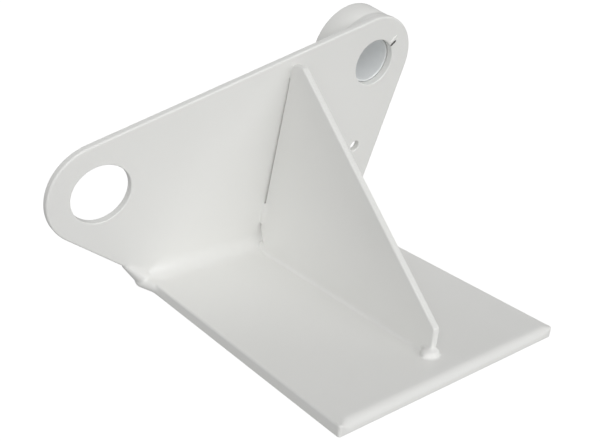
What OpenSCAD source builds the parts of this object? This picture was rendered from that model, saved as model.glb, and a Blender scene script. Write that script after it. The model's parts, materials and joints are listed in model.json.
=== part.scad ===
// Welded side bracket for a bow fitting: a flat base, a side plate that leans
// over it, a gusset between them and a bushed boss on the side plate's far face.
// +Z is up, +X runs along the side plate, +Y points from the open side to the
// side plate. The origin is the middle of the base's underside.

/* [Base plate] */
// Width of the base along the side plate
base_w = 150; // [130:1:180]
// Length of the base, from its free edge to the side plate's far face
base_l = 158; // [150:1:190]
// Thickness of the base
base_t = 6; // [5:0.5:8]
// Radius of the base's four corners, seen from above
base_corner_r = 1.5; // [1:0.5:5]

/* [Side plate] */
// Thickness of the side plate
plate_t = 4; // [3:0.5:5]
// Lean of the side plate over the base, in degrees
rake = 10; // [6:0.5:14]
// Gap from the base's right edge to the foot of the side plate
foot_inset = 3; // [0:0.5:6]
// Smallest hole that the side plate carries, for a retaining bolt
keeper_d = 6.5; // [5:0.5:8]
// Keeper hole's place along the side plate, from the middle of the base
keeper_x = 61; // [58:0.5:64]
// Keeper hole's height up the side plate
keeper_h = 56.5; // [52:0.5:62]

/* [Open eye] */
// Eye's place along the side plate, from the middle of the base
eye_x = -106; // [-112:0.5:-100]
// Eye's height up the side plate
eye_h = 58; // [54:0.5:62]
// Diameter of the open bore
eye_bore_d = 32; // [26:0.5:36]
// Outside radius of the eye
eye_r = 28; // [25:0.5:32]

/* [Pivot boss] */
// Boss's place along the side plate, from the middle of the base
boss_x = 59.5; // [56:0.5:63]
// Boss's height up the side plate
boss_h = 110; // [104:0.5:116]
// Radius of the side plate round the boss
lobe_r = 27; // [27:0.5:30]
// Outside diameter of the boss
boss_d = 53; // [48:0.5:54]
// Length of the boss behind the side plate
boss_l = 20; // [16:0.5:26]
// Bevel round the boss's outer end
boss_bevel = 1.5; // [0.5:0.5:3]
// Outside diameter of the bush, and of the hole that the side plate has over it
bush_d = 27; // [25:0.5:30]
// Diameter of the bush's bore
bush_bore_d = 24; // [20:0.5:24]
// Bevel at each end of the bush's bore
bush_bevel = 0.8; // [0.4:0.1:1]

/* [Gusset] */
// Thickness of the gusset
gusset_t = 4; // [3:0.5:5]
// Reach of the gusset along the base, from the side plate's foot
gusset_reach = 138; // [120:1:140]
// Height of the gusset above the base
gusset_h = 113.5; // [105:0.5:114]
// Height of the gusset's blunt nose
nose_h = 14.5; // [10:0.5:20]
// Width of the gusset's flat top
gusset_top_w = 8; // [5:0.5:12]
// Gap between the gusset and the side plate at the top
gap_top = 0.3; // [0.2:0.1:0.6]
// Gap between the gusset and the side plate at the bottom
gap_bottom = 1.2; // [0.8:0.1:1.6]
// Run of the snipped corner along the base
snip_run = 8; // [8:0.5:12]
// Height of the snipped corner
snip_h = 14; // [10:0.5:16]

/* [Weld beads] */
// Leg of the bead in the corner between the base and the side plate
root_leg = 7; // [5:0.5:8]
// Leg of the beads along the gusset's foot
foot_leg = 3.5; // [2.5:0.5:5]
// Leg of the bead down the gusset's right side
side_leg = 4; // [3:0.5:5]
// Leg of the short beads at the gusset's left side, top and nose
tack_leg = 3; // [2:0.5:4]
// How far the bead along the back seam stands out
seam_proud = 1.5; // [1:0.5:2]
// Leg of the ring bead round the boss
ring_leg = 4; // [3:0.5:5]

/* [Hidden] */

$fn = 96;
eps = 1;                                   // overshoot of every cutting tool
arc_steps = 42;                            // flats round each of the side plate's round ends
far_y = plate_t / cos(rake);               // side plate's thickness, measured level
foot_y = base_l / 2 - far_y;               // near face of the side plate at the base
foot_left = -base_w / 2;
foot_right = base_w / 2 - foot_inset;
lean = tan(rake);

eye_c = [eye_x, eye_h];
lobe_c = [boss_x, boss_h];
boss_len = norm(lobe_c - eye_c);
boss_dir = atan2(lobe_c.y - eye_c.y, lobe_c.x - eye_c.x);
top_normal = boss_dir + acos((eye_r - lobe_r) / boss_len);

seam_r = 3 * seam_proud;                   // radius of the back seam's round face
side_from = snip_h / cos(rake);            // the side bead starts above the snipped corner
tack_from = 17;                            // the tack's span up the side plate
tack_to = 30;
cap_leg = tack_leg + 1;                    // leg of the cap over the flat top

// The lumps that turn the joint's ends up the side plate's edges and along the base
lump_proud = 1.8;                          // how far they stand out
lump_lip = 0.8;                            // how far they lap over the side plate's faces
left_run = 11;                             // reach up the left edge
left_drop = 4.8;                           // reach down the base's side
left_reach = 10;                           // reach along the base's side
right_run = 8;                             // reach up the right edge

function polar(r, a) = r * [cos(a), sin(a)];

// Angle on the circle c, r at which a line from p touches it: side is 1 for left, -1 for right
function touch_angle(p, c, r, side) =
    let (d = c - p)
    atan2(d.y, d.x) + side * (90 + asin(r / norm(d)));

// Points round the circle c, r from angle a0 to angle a1
function arc(c, r, a0, a1) =
    [for (i = [0:arc_steps]) c + polar(r, a0 + (a1 - a0) * i / arc_steps)];

eye_start = touch_angle([foot_left, 0], eye_c, eye_r, 1);
lobe_end = touch_angle([foot_right, 0], lobe_c, lobe_r, -1);

// Level distance from the side plate's foot to its near face at height z
function near_face(z) = -z * lean;

// The point [x, z above the base] that is run up the side plate's edge, which leans at a
function up_edge(end_x, a, run) = [end_x + run * cos(a), run * sin(a) * cos(rake)];

// A point on the side plate's near face, in the upright section, s up the plate
function up_plate(s) = [-s * sin(rake), s * cos(rake)];

// The side plate's own frame: X along it, Y through it, Z up it
module on_plate() {
    translate([0, foot_y, base_t]) rotate([rake, 0, 0]) children();
}

// A bar along X whose section is drawn as [y from the foot, z above the base]
module bar_x(x0, x1) {
    translate([x0, foot_y, base_t]) rotate([90, 0, 90]) linear_extrude(x1 - x0) children();
}

// A bar along Y whose section is drawn as [x, z above the base]
module bar_y(y0, y1) {
    translate([0, foot_y + y1, base_t]) rotate([90, 0, 0]) linear_extrude(y1 - y0) children();
}

// A round tool through the side plate at [x, height up the plate]
module through_plate(place, d) {
    on_plate() translate([place.x, -eps, place.y]) rotate([-90, 0, 0])
        cylinder(d = d, h = plate_t + 2 * eps);
}

module plate_outline() {
    polygon(concat([[foot_left, -eps], [foot_left, 0]],
                   arc(eye_c, eye_r, eye_start, top_normal),
                   arc(lobe_c, lobe_r, top_normal, lobe_end),
                   [[foot_right, 0], [foot_right, -eps]]));
}

// The side plate with no holes, cut off level at the base
module plate_blank() {
    difference() {
        on_plate() translate([0, plate_t, 0]) rotate([90, 0, 0])
            linear_extrude(plate_t) plate_outline();
        translate([-base_w, 0, -base_t]) cube([2 * base_w, base_l, 2 * base_t]);
    }
}

module base_outline() {
    inner = [base_w - 2 * base_corner_r, base_l - 2 * base_corner_r];
    square([inner.x, base_l], center = true);
    square([base_w, inner.y], center = true);
    for (sx = [-1, 1], sy = [-1, 1])
        translate([sx * inner.x / 2, sy * inner.y / 2]) circle(base_corner_r);
}

module base_plate() {
    color("gainsboro") linear_extrude(base_t) base_outline();
}

module side_plate() {
    color("whitesmoke") difference() {
        plate_blank();
        through_plate(eye_c, eye_bore_d);
        through_plate(lobe_c, bush_d);
        through_plate([keeper_x, keeper_h], keeper_d);
    }
}

module gusset() {
    back_low = near_face(snip_h) - gap_bottom;
    back_high = near_face(gusset_h) - gap_top;
    color("gainsboro") bar_x(-gusset_t / 2, gusset_t / 2)
        polygon([[back_low, snip_h], [-gap_bottom - snip_run, 0], [-gusset_reach, 0],
                 [-gusset_reach, nose_h], [back_high - gusset_top_w, gusset_h],
                 [back_high, gusset_h]]);
}

module pivot_boss() {
    r = boss_d / 2;
    color("whitesmoke") on_plate() translate([boss_x, plate_t, boss_h]) rotate([-90, 0, 0])
        rotate_extrude()
            polygon([[bush_d / 2, 0], [r, 0], [r, boss_l - boss_bevel],
                     [r - boss_bevel, boss_l], [bush_d / 2, boss_l]]);
}

module boss_bush() {
    r = bush_bore_d / 2;
    color("lightsteelblue") on_plate() translate([boss_x, plate_t, boss_h]) rotate([-90, 0, 0])
        rotate_extrude()
            polygon([[r + bush_bevel, 0], [bush_d / 2, 0], [bush_d / 2, boss_l],
                     [r + bush_bevel, boss_l], [r, boss_l - bush_bevel], [r, bush_bevel]]);
}

// The bead in the corner runs straight through under the gusset's snipped corner
module weld_root() {
    color("white") bar_x(foot_left, foot_right)
        polygon([[0, 0], [-root_leg, 0], up_plate(root_leg)]);
}

// The bead up the outside, over the joint between the base's edge and the side plate
module weld_back_seam() {
    color("white") bar_x(foot_left, foot_right) difference() {
        translate([far_y - seam_r + seam_proud, 0]) circle(seam_r);
        translate([-base_t, -base_t]) square([far_y + base_t, base_t]);
        polygon([[-base_t, 0], [far_y, 0], [far_y, 0] + up_plate(base_t),
                 up_plate(base_t) - [base_t, 0]]);
    }
}

// The left lump fills the corner under the slanted edge and runs on along the base's side
module weld_end_left() {
    edge_a = eye_start - 90;
    tip = up_edge(foot_left, edge_a, left_run);
    under = [foot_left, -left_drop];
    corner = [foot_left, 0];
    color("white") {
        bar_y(-lump_lip, far_y + lump_lip)
            polygon([under, corner, tip, tip + polar(lump_proud, edge_a + 90),
                     corner - [2 * lump_proud, lump_proud], under + [-lump_proud, eps]]);
        bar_y(-left_reach, eps - lump_lip)
            polygon([under, corner, corner - [lump_proud, eps], under + [-lump_proud, eps]]);
    }
}

// The right lump lies on the base, whose edge is further out
module weld_end_right() {
    edge_a = lobe_end + 90;
    tip = up_edge(foot_right, edge_a, right_run);
    color("white") bar_y(-lump_lip - eps, far_y + lump_lip)
        polygon([[foot_right, 0], [foot_right + foot_inset, 0],
                 tip + polar(lump_proud, edge_a - 90), tip]);
}

// One bead along the gusset's foot; side is -1 for the left and 1 for the right
module foot_bead(side) {
    face = side * gusset_t / 2;
    color("white") bar_y(-gusset_reach, -gap_bottom - snip_run)
        polygon([[face, 0], [face + side * foot_leg, 0], [face, foot_leg]]);
}

module weld_gusset_foot_left() {
    foot_bead(-1);
}

module weld_gusset_foot_right() {
    foot_bead(1);
}

// One bead between the gusset's side and the side plate, from s0 to s1 up the plate
module side_bead(side, leg, s0, s1) {
    face = side * gusset_t / 2;
    color("white") on_plate() translate([0, 0, s0]) linear_extrude(s1 - s0)
        polygon([[face, 0], [face + side * leg, 0], [face, -leg]]);
}

module weld_gusset_side_right() {
    side_bead(1, side_leg, side_from, gusset_h);
}

module weld_gusset_tack_left() {
    side_bead(-1, tack_leg, tack_from, tack_to);
}

module weld_gusset_top() {
    corner = [near_face(gusset_h), gusset_h];
    color("white") bar_x(-gusset_t / 2, gusset_t / 2)
        polygon([corner, corner + up_plate(cap_leg), corner - [cap_leg, 0]]);
}

module weld_gusset_nose() {
    half = gusset_t / 2 + tack_leg / 2;
    color("white") bar_x(-half, half)
        polygon([[-gusset_reach, 0], [-gusset_reach - tack_leg, 0], [-gusset_reach, tack_leg]]);
}

// The ring bead stops at the side plate's outline
module weld_boss_ring() {
    r = boss_d / 2;
    color("white") on_plate() intersection() {
        translate([boss_x, plate_t, boss_h]) rotate([-90, 0, 0]) rotate_extrude()
            polygon([[r, 0], [r + ring_leg, 0], [r, ring_leg]]);
        translate([0, plate_t + 2 * ring_leg, 0]) rotate([90, 0, 0])
            linear_extrude(2 * ring_leg + eps) plate_outline();
    }
}

base_plate();
side_plate();
gusset();
pivot_boss();
boss_bush();
weld_root();
weld_back_seam();
weld_end_left();
weld_end_right();
weld_gusset_foot_left();
weld_gusset_foot_right();
weld_gusset_side_right();
weld_gusset_tack_left();
weld_gusset_top();
weld_gusset_nose();
weld_boss_ring();
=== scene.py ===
"""Looks of the welded bow roller bracket: white paint over plates and weld beads, a bare steel bush.

Everything is in metres in the CAD's own frame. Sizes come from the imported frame; what the
frame doesn't hold is a named value below, in millimetres times MM.
"""

import json
import math

import bmesh
import bpy
from mathutils import Matrix, Vector, noise
from mathutils.geometry import tessellate_polygon


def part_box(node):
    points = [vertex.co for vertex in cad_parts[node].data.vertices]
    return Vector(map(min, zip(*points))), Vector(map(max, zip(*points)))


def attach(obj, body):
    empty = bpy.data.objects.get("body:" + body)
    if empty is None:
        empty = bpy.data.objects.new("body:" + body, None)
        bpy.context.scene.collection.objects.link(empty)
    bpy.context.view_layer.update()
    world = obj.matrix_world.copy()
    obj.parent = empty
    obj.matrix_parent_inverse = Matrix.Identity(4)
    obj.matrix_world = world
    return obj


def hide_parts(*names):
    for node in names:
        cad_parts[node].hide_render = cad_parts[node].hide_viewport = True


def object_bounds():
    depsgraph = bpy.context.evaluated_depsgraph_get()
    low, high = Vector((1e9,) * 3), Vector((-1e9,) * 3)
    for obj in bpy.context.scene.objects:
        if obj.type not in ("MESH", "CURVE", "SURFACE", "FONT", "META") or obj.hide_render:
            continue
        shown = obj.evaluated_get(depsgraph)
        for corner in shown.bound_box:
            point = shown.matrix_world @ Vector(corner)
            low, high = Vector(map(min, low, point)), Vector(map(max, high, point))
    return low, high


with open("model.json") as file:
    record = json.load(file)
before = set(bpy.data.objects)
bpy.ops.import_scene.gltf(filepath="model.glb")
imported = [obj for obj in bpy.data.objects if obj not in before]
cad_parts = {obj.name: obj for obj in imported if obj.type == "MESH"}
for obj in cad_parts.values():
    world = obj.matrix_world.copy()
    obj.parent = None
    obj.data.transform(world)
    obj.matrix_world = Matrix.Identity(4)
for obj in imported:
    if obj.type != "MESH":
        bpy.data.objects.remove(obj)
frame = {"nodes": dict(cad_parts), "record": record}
cad_low, cad_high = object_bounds()

MM = 0.001

# ---------------------------------------------------------------- sizes read from the frame

X = Vector((1, 0, 0))
Y = Vector((0, 1, 0))
Z = Vector((0, 0, 1))
UPRIGHT = Matrix.Identity(3)

mounts = {mount["name"]: mount for mount in frame["record"]["mounts"]}


def place_of(mount):
    return Vector(mounts[mount]["pos_m"])


def size_of(mount, key):
    return mounts[mount]["dims"][key] * MM


base_low, base_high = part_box("base_plate")
base_t = base_high.z - base_low.z
plate_t = size_of("eye_bore", "length_mm")
near = Vector(mounts["eye_bore"]["axis"])          # outward from the side plate's near face
far = -near
up = near.cross(X)                                 # up the side plate
rake = math.atan2(far.z, far.y)
foot = Vector((0, base_high.y - plate_t / math.cos(rake), base_t))
root_low, root_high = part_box("weld_root")
foot_left = root_low.x
foot_right = root_high.x
root_leg = foot.y - root_low.y
gusset_low, gusset_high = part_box("gusset")
boss_low, boss_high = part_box("pivot_boss")
boss_r = (boss_high.x - boss_low.x) / 2
boss_l = (boss_high.y - boss_low.y - 2 * boss_r * math.sin(rake)) / math.cos(rake)
bush_low, bush_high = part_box("boss_bush")
bush_r = (bush_high.x - bush_low.x) / 2
bore_r = size_of("bush_bore", "r_mm")
bush_bevel = (boss_l - size_of("bush_bore", "length_mm")) / 2


def on_plate(along, through, height):
    """The point at that place along, through and up the side plate."""
    return foot + along * X + through * far + height * up


def up_plate(point):
    """How far up the side plate a point is."""
    return (point - foot).dot(up)


boss_axis = on_plate(place_of("bush_bore").x, plate_t, up_plate(place_of("bush_bore")))

# ---------------------------------------------------------------- looks that the frame doesn't hold

PLATE_EDGE = 1.0 * MM          # roundness of the painted edges
HOLE_EDGE = 0.6 * MM
BASE_EDGE = 1.2 * MM
BASE_FRONT_EDGE = 4.2 * MM     # the base's free edge is rounder than its sides
BASE_UNDER_EDGE = 0.5 * MM     # its underside is crisp all round
BOSS_EDGE = 1.4 * MM
GUSSET_CORNER = 3.2 * MM
FOLD_SHARE = 0.6               # how near an edge's rounding may come to folding over at a corner
GROUND_GAP = 0.02 * MM         # how far the weld skins stay above the base's underside
LIGHT_SPREAD = 40              # degrees that each light covers

# ---------------------------------------------------------------- materials


def new_material(name):
    material = bpy.data.materials.new(name)
    material.use_nodes = True
    tree = material.node_tree
    return material, tree, tree.nodes["Principled BSDF"]


def add(tree, kind, **inputs):
    """A node of that kind with its inputs set by name."""
    node = tree.nodes.new(kind)
    for name, value in inputs.items():
        node.inputs[name.replace("_", " ")].default_value = value
    return node


def noise_at(tree, scale, detail, rough=0.5):
    """Noise in the object's own coordinates, scale in cycles per metre."""
    coords = add(tree, "ShaderNodeTexCoord")
    made = add(tree, "ShaderNodeTexNoise", Scale=scale, Detail=detail, Roughness=rough)
    tree.links.new(coords.outputs["Object"], made.inputs["Vector"])
    return made.outputs["Fac"]


def spread(tree, source, low, high):
    """Maps the middle of a noise onto low to high."""
    made = add(tree, "ShaderNodeMapRange", From_Min=0.3, From_Max=0.7, To_Min=low, To_Max=high)
    tree.links.new(source, made.inputs["Value"])
    return made.outputs["Result"]


def blend_colours(tree, factor, first, second):
    mix = tree.nodes.new("ShaderNodeMix")
    mix.data_type = "RGBA"
    tree.links.new(factor, mix.inputs["Factor"])
    mix.inputs["A"].default_value = (*first, 1)
    mix.inputs["B"].default_value = (*second, 1)
    return mix.outputs["Result"]


def bump_chain(tree, shader, layers):
    """Bumps one on another: each layer is a height source and its depth in metres."""
    normal = None
    for source, depth in layers:
        bump = add(tree, "ShaderNodeBump", Distance=depth)
        tree.links.new(source, bump.inputs["Height"])
        if normal:
            tree.links.new(normal, bump.inputs["Normal"])
        normal = bump.outputs["Normal"]
    tree.links.new(normal, shader.inputs["Normal"])


def white_paint(name, first, second, peel, sag):
    """Thick glossy paint: slight drift in colour and gloss, orange peel and slow sags."""
    material, tree, shader = new_material(name)
    drift = noise_at(tree, 22, 1)
    tree.links.new(blend_colours(tree, drift, first, second), shader.inputs["Base Color"])
    tree.links.new(spread(tree, noise_at(tree, 45, 1), 0.30, 0.36), shader.inputs["Roughness"])
    shader.inputs["IOR"].default_value = 1.5
    shader.inputs["Coat Weight"].default_value = 0.3
    shader.inputs["Coat Roughness"].default_value = 0.12
    bump_chain(tree, shader, [(noise_at(tree, 60, 1), sag), (noise_at(tree, 650, 1), peel)])
    return material


def turned_steel(name):
    """Machined bore: bare steel with fine turning marks round its axis."""
    material, tree, shader = new_material(name)
    coords = add(tree, "ShaderNodeTexCoord")
    turn = add(tree, "ShaderNodeMapping", Rotation=(-rake, 0, 0))
    tree.links.new(coords.outputs["Object"], turn.inputs["Vector"])
    marks = add(tree, "ShaderNodeTexWave", Scale=420, Distortion=1.5, Detail=3, Detail_Scale=2)
    marks.bands_direction = "Y"
    tree.links.new(turn.outputs["Vector"], marks.inputs["Vector"])
    stains = noise_at(tree, 260, 4, 0.6)
    tree.links.new(blend_colours(tree, stains, (0.84, 0.865, 0.872), (0.89, 0.905, 0.91)),
                   shader.inputs["Base Color"])
    tree.links.new(spread(tree, noise_at(tree, 500, 3), 0.38, 0.52), shader.inputs["Roughness"])
    shader.inputs["Metallic"].default_value = 0.15
    bump_chain(tree, shader, [(marks.outputs["Fac"], 0.02 * MM)])
    return material


def chipped_steel(name):
    """Dull dark steel where the paint has come off."""
    material, tree, shader = new_material(name)
    rust = noise_at(tree, 900, 3, 0.6)
    tree.links.new(blend_colours(tree, rust, (0.05, 0.05, 0.05), (0.12, 0.11, 0.10)),
                   shader.inputs["Base Color"])
    tree.links.new(spread(tree, noise_at(tree, 1500, 2), 0.55, 0.8), shader.inputs["Roughness"])
    bump_chain(tree, shader, [(noise_at(tree, 2500, 2), 0.02 * MM)])
    return material


PAINT_FIRST = (0.872, 0.873, 0.850)
PAINT_SECOND = (0.892, 0.892, 0.874)
PAINT = white_paint("white_paint", PAINT_FIRST, PAINT_SECOND, 0.006 * MM, 0.05 * MM)
WELD_PAINT = white_paint("weld_paint", PAINT_FIRST, PAINT_SECOND, 0.008 * MM, 0.08 * MM)
STEEL = turned_steel("turned_steel")
CHIPPED = chipped_steel("chipped_steel")

# ---------------------------------------------------------------- mesh helpers


def new_piece(name, material, slot, vertices, faces, *nodes):
    """A closed smooth piece that rides on the bracket and stands for those CAD nodes."""
    mesh = bpy.data.meshes.new(name)
    mesh.from_pydata([tuple(v) for v in vertices], [], faces)
    return finish_piece(name, mesh, material, slot, *nodes)


def finish_piece(name, mesh, material, slot, *nodes):
    bm = bmesh.new()
    bm.from_mesh(mesh)
    bmesh.ops.recalc_face_normals(bm, faces=bm.faces)
    bm.to_mesh(mesh)
    bm.free()
    mesh.materials.clear()
    mesh.materials.append(material)
    mesh.shade_smooth()
    piece = bpy.data.objects.new(name, mesh)
    bpy.context.scene.collection.objects.link(piece)
    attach(piece, "root")
    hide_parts(*nodes)
    return piece


def weigh_normals(piece):
    """Flat faces keep their own normal, so that only the rounded edges shade round."""
    modifier = piece.modifiers.new("flat_faces", "WEIGHTED_NORMAL")
    modifier.keep_sharp = True
    modifier.weight = 100


def face_basis(outward, upward):
    """Matrix whose columns are right, up and out, as seen from outside a face."""
    right = upward.cross(outward)
    return Matrix((right, upward, outward)).transposed()


def face_loops(node, basis):
    """Outlines of the node's outermost flat face, in the face's own right and up directions.
    The metal lies to the left of each loop."""
    exact = 2e-6
    mesh = frame["nodes"][node].data
    local = [basis.transposed() @ v.co for v in mesh.vertices]
    level = max(p.z for p in local)
    known = {}
    ids = [known.setdefault(tuple(round(c / exact) for c in p), len(known)) for p in local]
    place = dict(zip(ids, local))
    edges = set()
    for polygon in mesh.polygons:
        if all(level - local[v].z < exact for v in polygon.vertices):
            ring = [ids[v] for v in polygon.vertices]
            for pair in zip(ring, ring[1:] + ring[:1]):
                if pair[::-1] in edges:
                    edges.remove(pair[::-1])
                else:
                    edges.add(pair)
    follow = dict(sorted(edges))
    loops = []
    while follow:
        at = min(follow)
        loop = []
        while at in follow:
            loop.append(place[at].xy)
            at = follow.pop(at)
        loops.append(without_straights(loop))
    return sorted(loops, key=area, reverse=True), level


def area(loop):
    return sum(a.cross(b) for a, b in zip(loop, loop[1:] + loop[:1])) / 2


def turn_at(loop, i):
    """Angle the loop turns left at its point i."""
    before = loop[i] - loop[i - 1]
    after = loop[(i + 1) % len(loop)] - loop[i]
    return math.atan2(before.cross(after), before.dot(after))


def without_straights(loop):
    return [p for i, p in enumerate(loop) if abs(turn_at(loop, i)) > 1e-3]


def round_corners(loop, radius, steps=6, sharp=math.radians(15)):
    """The loop with an arc at each outside corner."""
    made = []
    for i, corner in enumerate(loop):
        turn = turn_at(loop, i)
        if turn < sharp:
            made.append(corner)
            continue
        back = (loop[i - 1] - corner).normalized()
        on = (loop[(i + 1) % len(loop)] - corner).normalized()
        cut = radius * math.tan(turn / 2)
        middle = corner + (back + on).normalized() * (radius / math.cos(turn / 2))
        spoke = corner + back * cut - middle
        for k in range(steps + 1):
            angle = turn * k / steps
            made.append(middle + Matrix.Rotation(angle, 2) @ spoke)
    return made


def inward(loop, i):
    """The step that moves point i one unit into the metal from both of its edges."""
    before = (loop[i] - loop[i - 1]).normalized()
    after = (loop[(i + 1) % len(loop)] - loop[i]).normalized()
    first = Vector((-before.y, before.x))
    second = Vector((-after.y, after.x))
    return (first + second) / (1 + first.dot(second))


def with_corner_ends(loop, run=4 * MM):
    """The loop with a point near both ends of every long edge, where a corner's rounding ends."""
    made = []
    for a, b in zip(loop, loop[1:] + loop[:1]):
        made.append(a)
        length = (b - a).length
        if length > 4 * run:
            made += [a.lerp(b, run / length), a.lerp(b, 1 - run / length)]
    return made


def corner_limit(loop, i):
    """The largest edge radius that doesn't fold over at an outside corner's arc."""
    count = len(loop)
    turn = max(turn_at(loop, k % count) for k in (i - 1, i, i + 1))
    short = min((loop[i] - loop[i - 1]).length, (loop[(i + 1) % count] - loop[i]).length)
    return FOLD_SHARE * short / turn if turn > 0 else math.inf


def rounded_plate(loops, level, thickness, edge_r, far_limit, steps=5, hold=1.5):
    """Vertices and faces of a plate with rounded edges. edge_r gives a radius for a loop's number
    and its outward direction there, which far_limit caps on the far side; hold is how far in, in
    radii, the flat face starts."""
    turns = [k / steps * math.pi / 2 for k in range(steps + 1)]
    near_side = [(1 - math.sin(a), 1 - math.cos(a)) for a in turns]
    profile = [(hold, 0, 0)]
    profile += [(inset, drop, 0) for inset, drop in near_side]
    profile += [(inset, drop, 1) for inset, drop in reversed(near_side)]
    profile += [(hold, 0, 1)]
    vertices, faces, caps = [], [], ([], [])
    for number, loop in enumerate(loops):
        steps_in = [inward(loop, i) for i in range(len(loop))]
        radii = [min(edge_r(number, -step.normalized()), corner_limit(loop, i))
                 for i, step in enumerate(steps_in)]
        start = len(vertices)
        for inset, drop, side in profile:
            for point, step, radius in zip(loop, steps_in, radii):
                if side:
                    radius = min(radius, far_limit)
                flat = point + step * inset * radius
                depth = thickness - drop * radius if side else drop * radius
                vertices.append(Vector((flat.x, flat.y, level - depth)))
        count = len(loop)
        for ring in range(len(profile) - 1):
            for i in range(count):
                j = (i + 1) % count
                a, b = start + ring * count, start + (ring + 1) * count
                faces.append((a + i, b + i, b + j, a + j))
        caps[0].append(range(start, start + count))
        last = start + (len(profile) - 1) * count
        caps[1].append(range(last, last + count))
    for cap in caps:
        ids = [i for ring in cap for i in ring]
        for triangle in tessellate_polygon([[vertices[i] for i in ring] for ring in cap]):
            faces.append(tuple(ids[i] for i in triangle))
    return vertices, faces


def painted_plate(name, node, outward, upward, corner_r, edge_r, far_limit=1.0):
    basis = face_basis(outward, upward)
    loops, level = face_loops(node, basis)
    if corner_r:
        loops = [round_corners(loop, corner_r) for loop in loops]
    loops = [with_corner_ends(loop) for loop in loops]
    low = min((basis.transposed() @ v.co).z for v in frame["nodes"][node].data.vertices)
    vertices, faces = rounded_plate(loops, level, level - low, edge_r, far_limit)
    piece = new_piece(name, PAINT, "paint_white", [basis @ v for v in vertices], faces, node)
    weigh_normals(piece)
    return piece


def lathe(name, node, material, slot, profile, segments=128):
    """A closed ring turned about the boss's axis; profile is (distance along, radius)."""
    side = far.cross(X)
    vertices, faces = [], []
    for k in range(segments):
        angle = 2 * math.pi * k / segments
        spoke = math.cos(angle) * X + math.sin(angle) * side
        vertices += [boss_axis + along * far + radius * spoke for along, radius in profile]
    count = len(profile)
    for k in range(segments):
        a, b = k * count, (k + 1) % segments * count
        for i in range(count):
            j = (i + 1) % count
            faces.append((a + i, a + j, b + j, b + i))
    piece = new_piece(name, material, slot, vertices, faces, node)
    weigh_normals(piece)
    return piece


def arc_profile(along, radius, r, start, end, steps=8):
    """Points of a rounded edge on a lathe's profile; angles are from the axis, in degrees."""
    angles = [math.radians(start + (end - start) * k / steps) for k in range(steps + 1)]
    return [(along + r * math.cos(a), radius + r * math.sin(a)) for a in angles]


# ---------------------------------------------------------------- weld beads


def bead_mesh(spine, leg_a, leg_b, bulge, seed, uneven=0.14, ripple=0.12, pitch=2.4 * MM, across=12,
              tapered=True):
    """Vertices and faces of a bead in a corner. spine is a list of (corner, along face a, along
    face b); both toes run out flat on their faces. leg_a may be a function of the distance run."""
    tuck, sink = 0.4 * MM, 0.03 * MM
    vertices, faces = [], []
    run = [0.0]
    for first, second in zip(spine, spine[1:]):
        run.append(run[-1] + (second[0] - first[0]).length)
    for (corner, along_a, along_b), s in zip(spine, run):
        wander = noise.noise(Vector((s / (5 * MM), seed, 0)))
        other = noise.noise(Vector((s / (5 * MM), seed, 7.3)))
        a = (leg_a(s) if callable(leg_a) else leg_a) * (1 + uneven * wander)
        b = leg_b * (1 + uneven * other)
        end = min(s, run[-1] - s) / leg_b
        close = math.sqrt(max(0.02, 1 - max(0, 1 - end) ** 2)) if tapered else 1
        out = (along_a + along_b).normalized()
        ring = []
        for k in range(across + 1):
            t = k / across
            wave = math.cos(2 * math.pi * (s / pitch + 0.6 * abs(2 * t - 1) ** 1.5))
            crown = bulge * (1 + uneven * other + ripple * wave) * math.sin(math.pi * t) ** 2
            point = (1 - t) ** 2 * a * along_a + t ** 2 * b * along_b + crown * out
            ring.append(corner + close * point)
        ring.insert(0, ring[0] + min(tuck, a / 2) * along_a - sink * along_b)
        ring.append(ring[-1] + min(tuck, b / 2) * along_b - sink * along_a)
        ring.append(corner - tuck * (along_a + along_b))
        vertices += ring
    count = across + 4
    for k in range(len(spine) - 1):
        for i in range(count):
            j = (i + 1) % count
            a, b = k * count, (k + 1) * count
            faces.append((a + i, a + j, b + j, b + i))
    faces.append(tuple(range(count)))
    faces.append(tuple(range(len(vertices) - count, len(vertices))))
    return vertices, faces


def straight_spine(start, end, along_a, along_b, step=0.5 * MM):
    count = max(2, round((end - start).length / step))
    return [(start.lerp(end, k / count), along_a, along_b) for k in range(count + 1)]


def ball_mesh(centre, radii, turn=UPRIGHT, rings=3):
    """A lump of weld metal: a stretched ball."""
    bm = bmesh.new()
    bmesh.ops.create_icosphere(bm, subdivisions=rings, radius=1)
    vertices = [centre + turn @ Vector(c * r for c, r in zip(v.co, radii)) for v in bm.verts]
    faces = [tuple(v.index for v in f.verts) for f in bm.faces]
    bm.free()
    return vertices, faces


def joined(parts):
    vertices, faces = [], []
    for some_vertices, some_faces in parts:
        start = len(vertices)
        vertices += some_vertices
        faces += [tuple(start + i for i in face) for face in some_faces]
    return vertices, faces


def evaluated_mesh(thing):
    bpy.context.view_layer.update()
    shown = thing.evaluated_get(bpy.context.evaluated_depsgraph_get())
    return bpy.data.meshes.new_from_object(shown)


def scratch_object(vertices, faces):
    mesh = bpy.data.meshes.new("scratch")
    mesh.from_pydata([tuple(v) for v in vertices], [], faces)
    thing = bpy.data.objects.new("scratch", mesh)
    bpy.context.scene.collection.objects.link(thing)
    return thing


def cut_box(low, high):
    corners = [Vector((x, y, z)) for x in (low.x, high.x) for y in (low.y, high.y) for z in (low.z, high.z)]
    faces = [(0, 1, 3, 2), (4, 6, 7, 5), (0, 4, 5, 1), (2, 3, 7, 6), (0, 2, 6, 4), (1, 5, 7, 3)]
    return scratch_object(corners, faces)


def metal_inside(piece, box):
    """The part of a piece that lies in the box, as vertices and faces."""
    copy = bpy.data.objects.new("scratch", piece.data.copy())
    bpy.context.scene.collection.objects.link(copy)
    modifier = copy.modifiers.new("cut", "BOOLEAN")
    modifier.operation = "INTERSECT"
    modifier.object = box
    mesh = evaluated_mesh(copy)
    made = [v.co.copy() for v in mesh.vertices], [tuple(p.vertices) for p in mesh.polygons]
    bpy.data.objects.remove(copy)
    return made


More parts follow.
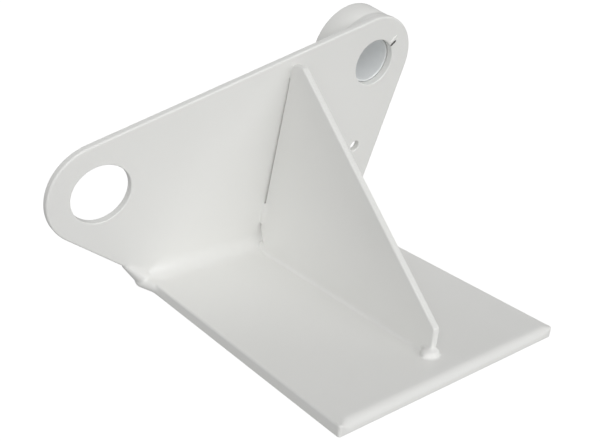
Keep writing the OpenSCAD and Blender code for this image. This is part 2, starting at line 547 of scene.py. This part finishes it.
def weld_skin(name, node, metal, lumps, room, voxel=0.4 * MM, soften=14, fade=2.5 * MM,
              lift=0.04 * MM, sink=0.35 * MM):
    """Weld metal that flows into the plates. The lumps and the metal near them are fused by a
    voxel remesh and smoothed; away from the lumps the skin sinks into the metal."""
    lows = [[c - r for c, r in zip(centre, radii)] for centre, radii, _ in lumps]
    highs = [[c + r for c, r in zip(centre, radii)] for centre, radii, _ in lumps]
    low = Vector(min(axis) - room for axis in zip(*lows))
    high = Vector(max(axis) + room for axis in zip(*highs))
    low.z = max(low.z, base_low.z - MM)
    box = cut_box(low, high)
    parts = [metal_inside(piece, box) for piece in metal]
    parts += [ball_mesh(*lump) for lump in lumps]
    thing = scratch_object(*joined(parts))
    remesh = thing.modifiers.new("fuse", "REMESH")
    remesh.mode = "VOXEL"
    remesh.voxel_size = voxel
    smooth = thing.modifiers.new("flow", "SMOOTH")
    smooth.factor = 0.5
    smooth.iterations = soften
    mesh = evaluated_mesh(thing)
    for vertex in mesh.vertices:
        gap = min(lump_gap(vertex.co, *lump) for lump in lumps)
        share = min(1, max(0, gap / fade))
        share = share * share * (3 - 2 * share)
        vertex.co -= vertex.normal * (share * sink - (1 - share) * lift)
        vertex.co.z = max(vertex.co.z, base_low.z + GROUND_GAP)
    bpy.data.objects.remove(thing)
    bpy.data.objects.remove(box)
    return finish_piece(name, mesh, WELD_PAINT, "paint_weld", node)


def lump_gap(point, centre, radii, turn=UPRIGHT):
    """Roughly how far a point is outside a lump."""
    local = turn.transposed() @ (point - centre)
    scaled = Vector(c / r for c, r in zip(local, radii))
    return (scaled.length - 1) * min(radii)


# ---------------------------------------------------------------- workpieces


def base_edge(number, outward):
    front = max(0, -outward.y) ** 2
    return BASE_EDGE + (BASE_FRONT_EDGE - BASE_EDGE) * front


def plate_edge(number, outward):
    return HOLE_EDGE if number else PLATE_EDGE


base_plate = painted_plate("base_plate_painted", "base_plate", Z, Y, 0, base_edge, BASE_UNDER_EDGE)
side_plate = painted_plate("side_plate_painted", "side_plate", near, up, 0, plate_edge)
gusset = painted_plate("gusset_painted", "gusset", -X, Z, GUSSET_CORNER, plate_edge)

boss_profile = [(0, bush_r), (0, boss_r)]
boss_profile += arc_profile(boss_l - BOSS_EDGE, boss_r - BOSS_EDGE, BOSS_EDGE, 90, 0)
boss_profile += arc_profile(boss_l - HOLE_EDGE, bush_r + HOLE_EDGE, HOLE_EDGE, 0, -90, 4)
lathe("pivot_boss_painted", "pivot_boss", PAINT, "paint_white", boss_profile)

bush_profile = [(0, bore_r + bush_bevel), (0, bush_r), (boss_l, bush_r), (boss_l, bore_r + bush_bevel)]
bush_profile += [(boss_l - bush_bevel, bore_r), (bush_bevel, bore_r)]
lathe("boss_bush_turned", "boss_bush", STEEL, "bush_steel", bush_profile)

# ---------------------------------------------------------------- welds

COVE_LEG = root_leg * 1.5       # paint blends the root weld wider than its metal
COVE_BULGE = 0.3 * MM
SEAM_BULGE = 1.2 * MM
FOOT_LEG = 2.4 * MM
FOOT_BULGE = 0.1 * MM
SIDE_LEG = 4.0 * MM
SIDE_BULGE = 0.6 * MM
RING_LEG = 4.0 * MM
RING_BULGE = 0.3 * MM
RING_MARGIN = 0.3 * MM          # where the plate ends near the boss, the ring stops this far short
RING_LEAST = 0.15 * MM
SNIP_FILL = 4.5 * MM            # the foot beads run on under the gusset's snipped corner

root_start = Vector((foot_left, foot.y, base_t))
root_end = Vector((foot_right, foot.y, base_t))
root_bead = new_piece("weld_root_bead", WELD_PAINT, "paint_weld",
                      *bead_mesh(straight_spine(root_start, root_end, -Y, up), COVE_LEG, COVE_LEG,
                                 COVE_BULGE, seed=1.0, uneven=0.05, ripple=0.0, across=16),
                      "weld_root")

# Over the back joint the bead's two faces are the base's top, which is flush there, and the plate
seam_point = Vector((0, base_high.y - BASE_EDGE * 0.3, base_t - 0.4 * MM))
seam_spine = straight_spine(seam_point + foot_left * X, seam_point + foot_right * X, -Z, up)
seam_low, seam_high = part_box("weld_back_seam")
seam_leg_down = seam_point.z - seam_low.z
seam_leg_up = seam_high.z - seam_point.z
back_bead = new_piece("weld_back_seam_bead", WELD_PAINT, "paint_weld",
                      *bead_mesh(seam_spine, seam_leg_down, seam_leg_up, SEAM_BULGE, seed=2.0,
                                 tapered=False),
                      "weld_back_seam")

foot_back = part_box("weld_gusset_foot_left")[1].y
for side, node in ((-1, "weld_gusset_foot_left"), (1, "weld_gusset_foot_right")):
    face = side * gusset_high.x
    ends = [Vector((face, y, base_t)) for y in (gusset_low.y, foot_back + SNIP_FILL)]
    bead = bead_mesh(straight_spine(*ends, side * X, Z), FOOT_LEG, FOOT_LEG, FOOT_BULGE, seed=3.0 + side)
    fill_centre = Vector((side * 0.4 * MM, foot_back + SNIP_FILL / 2, base_t + 0.5 * MM))
    fill = ball_mesh(fill_centre, (2.2 * MM, 6.0 * MM, 5.2 * MM))
    new_piece(node + "_bead", WELD_PAINT, "paint_weld", *joined([bead, fill]), node)

side_low, side_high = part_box("weld_gusset_side_right")
side_from = up_plate(Vector((0, side_high.y, side_low.z)))
side_to = up_plate(Vector((0, side_low.y, side_high.z)))
side_ends = [on_plate(gusset_high.x, 0, s) for s in (side_from, side_to)]
new_piece("weld_gusset_side_right_bead", WELD_PAINT, "paint_weld",
          *bead_mesh(straight_spine(*side_ends, X, near), SIDE_LEG, SIDE_LEG, SIDE_BULGE, seed=5.0),
          "weld_gusset_side_right")


def ring_spine(segments=240):
    """Round the boss on the side plate's far face: along a is outward, along b is down the boss."""
    spine = []
    for k in range(segments + 1):
        angle = 2 * math.pi * k / segments
        spoke = math.cos(angle) * X + math.sin(angle) * up
        spine.append((boss_axis + boss_r * spoke, spoke, far))
    return spine


plate_outline = face_loops("side_plate", face_basis(near, up))[0][0]


def plate_reach(angle):
    """How far the side plate goes on from the boss's axis in that direction."""
    centre = Vector((boss_axis.x, boss_axis.dot(up)))
    ray = Vector((math.cos(angle), math.sin(angle)))
    best = 1.0
    for a, b in zip(plate_outline, plate_outline[1:] + plate_outline[:1]):
        edge = b - a
        across = ray.cross(edge)
        if abs(across) < 1e-12:
            continue
        distance = (a - centre).cross(edge) / across
        share = (a - centre).cross(ray) / across
        if distance > 0 and 0 <= share <= 1:
            best = min(best, distance)
    return best


def ring_leg(s):
    """The ring's width on the plate, s along it."""
    reach = plate_reach(s / boss_r) - boss_r - RING_MARGIN
    return max(RING_LEAST, min(RING_LEG, reach))


new_piece("weld_boss_ring_bead", WELD_PAINT, "paint_weld",
          *bead_mesh(ring_spine(), ring_leg, RING_LEG, RING_BULGE, seed=6.0, tapered=False),
          "weld_boss_ring")


def run_of_lumps(count, start, step, first_radii, last_radii):
    """Lumps in a line: each is (middle, radii, turn), from the first radii to the last, in mm."""
    lumps = []
    for k in range(count):
        share = k / (count - 1)
        radii = Vector(first_radii).lerp(Vector(last_radii), share)
        lumps.append((start + step * share, radii * MM, UPRIGHT))
    return lumps


plate_metal = [base_plate, side_plate, root_bead, back_bead]
left_corner = Vector((foot_left, foot.y + plate_t / 2, base_t))
left_foot = Vector((foot_left, foot.dot(up)))
left_edge = min(plate_outline, key=lambda p: (p - left_foot).length)
left_next = plate_outline[plate_outline.index(left_edge) - 1]
slant = ((left_next.x - left_edge.x) * X + (left_next.y - left_edge.y) * up).normalized()
into_plate = far.cross(slant)
# The left lumps run up the slanted edge and forward along the base's side
left_lumps = run_of_lumps(8, left_corner - 1.0 * MM * X, (slant * 15 + into_plate * 1.4) * MM,
                          (4.6, 5.4, 4.4), (1.8, 2.6, 1.8))
left_lumps += run_of_lumps(6, left_corner + Vector((-0.6, -1.0, -2.6)) * MM,
                           Vector((2.6, -13, -0.4)) * MM, (4.6, 5.4, 3.4), (1.8, 3.6, 2.8))
weld_skin("weld_end_left_lump", "weld_end_left", plate_metal, left_lumps, 9 * MM, voxel=0.5 * MM,
          soften=20, fade=8 * MM, lift=0.12 * MM, sink=0.12 * MM)

right_corner = Vector((foot_right, foot.y + plate_t / 2, base_t))
right_lumps = run_of_lumps(5, right_corner - 0.8 * MM * X, up * 9 * MM, (3.0, 3.2, 3.0), (2.0, 2.4, 2.0))
weld_skin("weld_end_right_lump", "weld_end_right", plate_metal, right_lumps, 5 * MM,
          voxel=0.5 * MM, fade=4 * MM)

top_centre = on_plate(0, -2.2 * MM, up_plate(Vector((0, foot.y, gusset_high.z))) + 0.2 * MM)
weld_skin("weld_gusset_top_cap", "weld_gusset_top", [gusset, side_plate],
          [(top_centre, (2.2 * MM, 3.0 * MM, 2.0 * MM), UPRIGHT)], 3 * MM)

tack_low, tack_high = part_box("weld_gusset_tack_left")
tack_y = (tack_low.y + tack_high.y) / 2
tack_z = (tack_low.z + tack_high.z) / 2
tack_centre = Vector((gusset_low.x + 0.5 * MM, tack_y, tack_z))
tack_turn = Matrix.Rotation(rake, 3, "X")
weld_skin("weld_gusset_tack_left_cap", "weld_gusset_tack_left", [gusset, side_plate],
          [(tack_centre, (1.1 * MM, 2.0 * MM, 7.5 * MM), tack_turn)], 3 * MM)

nose_centre = Vector((-0.6 * MM, gusset_low.y + 1.5 * MM, base_t + 0.9 * MM))
weld_skin("weld_gusset_nose_cap", "weld_gusset_nose", [gusset, base_plate],
          [(nose_centre, (5.0 * MM, 4.2 * MM, 3.2 * MM), UPRIGHT),
           (nose_centre - 1.8 * MM * X, (4.0 * MM, 3.0 * MM, 1.9 * MM), UPRIGHT)], 4 * MM,
          soften=18, fade=4 * MM, sink=0.25 * MM)

# The paint is chipped at the rim of the bush's hole, with a run of paint above the chip
RUN_ANGLE = math.radians(50)
CHIP_ANGLE = math.radians(43)
SPOT_LENGTH = 1.4 * MM


def by_the_hole(radius, angle):
    """A point on the side plate's near face, from the boss's axis."""
    height = up_plate(boss_axis) + radius * math.sin(angle)
    return on_plate(boss_axis.x + radius * math.cos(angle), 0, height)


def rim_balls(angle, spots):
    """Flat balls on the near face beside the hole: (from the rim, half width, half height) in mm."""
    way = (by_the_hole(bush_r, angle) - by_the_hole(0, angle)).normalized()
    turn = Matrix((way.cross(far), far, way)).transposed()
    balls = []
    for reach, wide, tall in spots:
        radii = (wide * MM, tall * MM, SPOT_LENGTH)
        balls.append(ball_mesh(by_the_hole(bush_r + reach * MM, angle), radii, turn, 2))
    return joined(balls)


new_piece("paint_run", PAINT, "paint_white",
          *rim_balls(RUN_ANGLE, ((2.2, 1.2, 0.5), (3.4, 1.2, 0.65), (4.5, 1.0, 0.6), (5.6, 0.6, 0.35))),
          "side_plate")
new_piece("paint_chip", CHIPPED, "bush_steel",
          *rim_balls(CHIP_ANGLE, ((1.3, 0.7, 0.12), (2.3, 0.45, 0.12), (3.2, 0.75, 0.12))), "side_plate")

# ---------------------------------------------------------------- stage, light and camera

FLOOR_HALF = 30.0
FLOOR_GREY = 0.3
FLOOR_GLOW = 0.86               # the floor looks white, but is hidden from the bracket's own rays
STUDIO_GLOW = 0.353
CAMERA_PLACE = Vector((-0.29003, -0.28004, 0.22551))
CAMERA_AZIMUTH = 42.18
CAMERA_DOWN = 23.67
CAMERA_ROLL = 5.26
CAMERA_LENS = 51.93


def make_floor():
    mesh = bpy.data.meshes.new("floor")
    corners = [(-1, -1), (1, -1), (1, 1), (-1, 1)]
    vertices = [(x * FLOOR_HALF, y * FLOOR_HALF, base_low.z) for x, y in corners]
    mesh.from_pydata(vertices, [], [(0, 1, 2, 3)])
    floor = bpy.data.objects.new("floor", mesh)
    bpy.context.scene.collection.objects.link(floor)
    material, tree, shader = new_material("pale_floor")
    shader.inputs["Base Color"].default_value = (FLOOR_GREY, FLOOR_GREY, FLOOR_GREY, 1)
    shader.inputs["Roughness"].default_value = 0.9
    shader.inputs["Specular IOR Level"].default_value = 0.0
    shader.inputs["Emission Color"].default_value = (1, 1, 1, 1)
    shader.inputs["Emission Strength"].default_value = FLOOR_GLOW
    mesh.materials.append(material)
    floor.visible_diffuse = False
    floor.visible_glossy = False


def soft_light(name, azimuth, elevation, strength):
    """A broad, far light. Azimuth is to the right of -Y, seen from the object, in degrees."""
    a, e = (math.radians(angle) for angle in (azimuth, elevation))
    towards = Vector((math.sin(a) * math.cos(e), -math.cos(a) * math.cos(e), math.sin(e)))
    data = bpy.data.lights.new(name, "SUN")
    data.angle = math.radians(LIGHT_SPREAD)
    data.energy = strength
    light = bpy.data.objects.new(name, data)
    light.location = middle + towards
    light.rotation_euler = towards.to_track_quat("Z", "Y").to_euler()
    bpy.context.scene.collection.objects.link(light)


def make_world(strength):
    world = bpy.data.worlds.new("studio")
    bpy.context.scene.world = world
    world.use_nodes = True
    background = world.node_tree.nodes["Background"]
    background.inputs["Color"].default_value = (1, 1, 1, 1)
    background.inputs["Strength"].default_value = strength


def make_camera(place, azimuth, elevation, roll, lens):
    """Azimuth is to the right of +Y, elevation is how far it looks down, in degrees."""
    a, e, r = (math.radians(angle) for angle in (azimuth, elevation, roll))
    ahead = Vector((math.sin(a) * math.cos(e), math.cos(a) * math.cos(e), -math.sin(e)))
    level = Vector((math.cos(a), -math.sin(a), 0))
    right = math.cos(r) * level + math.sin(r) * level.cross(ahead)
    data = bpy.data.cameras.new("camera")
    data.lens = lens
    data.clip_start, data.clip_end = 0.01, 50
    camera = bpy.data.objects.new("camera", data)
    turn = Matrix((right, right.cross(ahead), -ahead)).transposed()
    camera.matrix_world = Matrix.Translation(place) @ turn.to_4x4()
    bpy.context.scene.collection.objects.link(camera)
    bpy.context.scene.camera = camera


middle = (cad_low + cad_high) / 2
make_floor()
make_world(STUDIO_GLOW)
soft_light("key_left", -45, 45, 0.53)
soft_light("low_left", -45, 15, 0.33)
soft_light("low_front", -15, 15, 0.34)
soft_light("low_right", 15, 15, 0.66)
soft_light("side_right", 80, 15, 0.22)
soft_light("above", 0, 75, 0.14)
soft_light("behind", 165, 12, 0.6)
make_camera(CAMERA_PLACE, CAMERA_AZIMUTH, CAMERA_DOWN, CAMERA_ROLL, CAMERA_LENS)
bpy.context.scene.view_settings.view_transform = "Standard"
